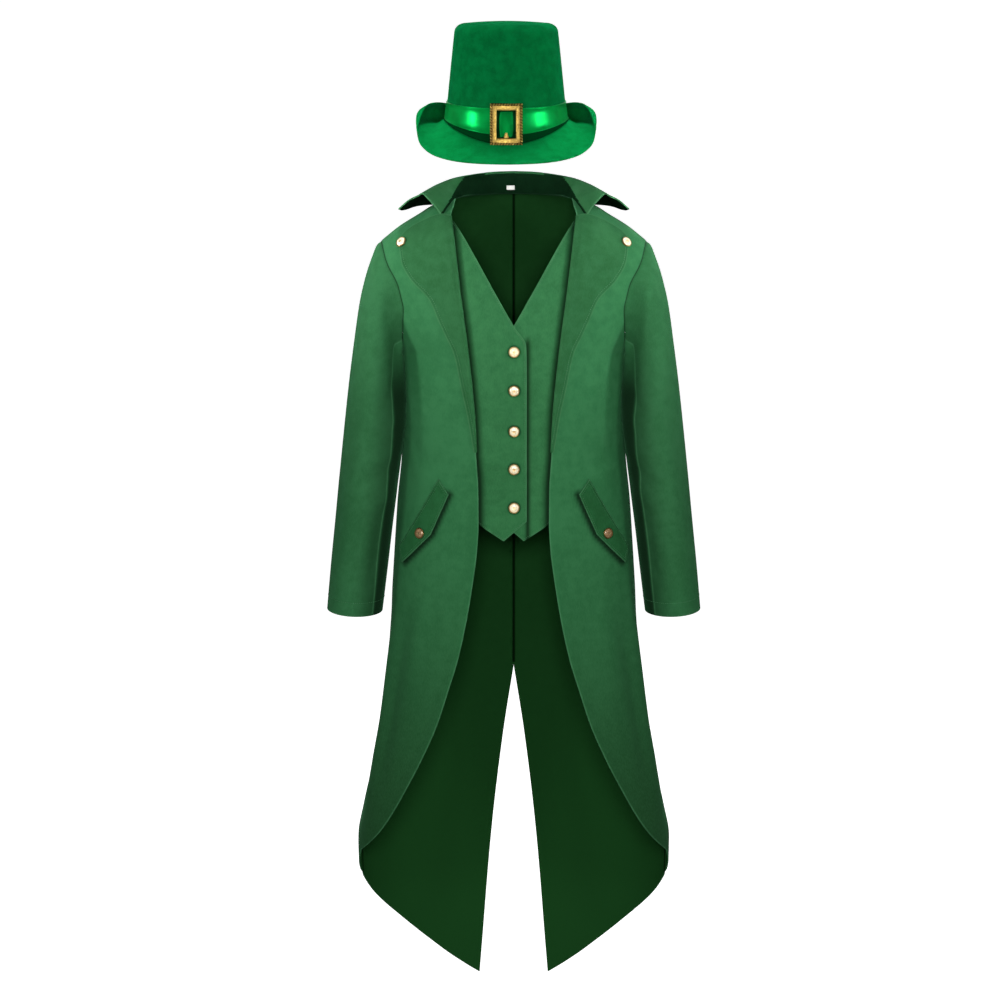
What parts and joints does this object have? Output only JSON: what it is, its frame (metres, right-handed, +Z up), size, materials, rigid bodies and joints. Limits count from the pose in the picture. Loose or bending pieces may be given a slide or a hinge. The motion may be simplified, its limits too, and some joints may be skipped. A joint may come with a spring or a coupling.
{
  "type": "saint patricks day costume: tailcoat with mock waistcoat, and top hat",
  "caption": "Hollow green tailcoat with turned-up collar, buttoned-back lapels, mock waistcoat fronts and pointed tails, with a felt top hat that has a ribbon and a square buckle.",
  "frame": {"origin": "middle of the neck at the height of the shoulders, where the wearer holds the coat up", "axes": "+X to the wearer's left, -Y out of the front, +Z up"},
  "size_m": [0.593, 0.3339, 1.5481],
  "materials": {
    "coat_cloth": "brushed matt green suiting",
    "facing_cloth": "the same cloth on lapels and waistcoat, a shade darker",
    "flap_cloth": "green cloth of the pocket flaps, darker",
    "tab_ribbon": "white woven tab, blank",
    "hat_felt": "bright green wool felt",
    "hat_ribbon": "green satin ribbon",
    "gilt_metal": "gilt, worn and slightly matt"
  },
  "bodies": {
    "root": {"coat_front_right": "coat_cloth", "coat_front_left": "coat_cloth", "coat_back_right": "coat_cloth", "coat_back_left": "coat_cloth", "sleeve_upper_right": "coat_cloth", "sleeve_upper_left": "coat_cloth", "sleeve_under_right": "coat_cloth", "sleeve_under_left": "coat_cloth", "collar": "coat_cloth", "lapel_right": "facing_cloth", "lapel_left": "facing_cloth", "vest_right": "facing_cloth", "vest_left": "facing_cloth", "pocket_flap_right": "flap_cloth", "pocket_flap_left": "flap_cloth", "neck_tab": "tab_ribbon", "vest_button_1": "gilt_metal", "vest_button_2": "gilt_metal", "vest_button_3": "gilt_metal", "vest_button_4": "gilt_metal", "vest_button_5": "gilt_metal", "lapel_button_right": "gilt_metal", "lapel_button_left": "gilt_metal", "flap_button_right": "gilt_metal", "flap_button_left": "gilt_metal", "hat_crown": "hat_felt", "hat_brim": "hat_felt", "hat_band": "hat_ribbon", "hat_band_tab": "hat_ribbon", "hat_buckle": "gilt_metal", "hat_buckle_prong": "gilt_metal"}
  },
  "joints": []
}
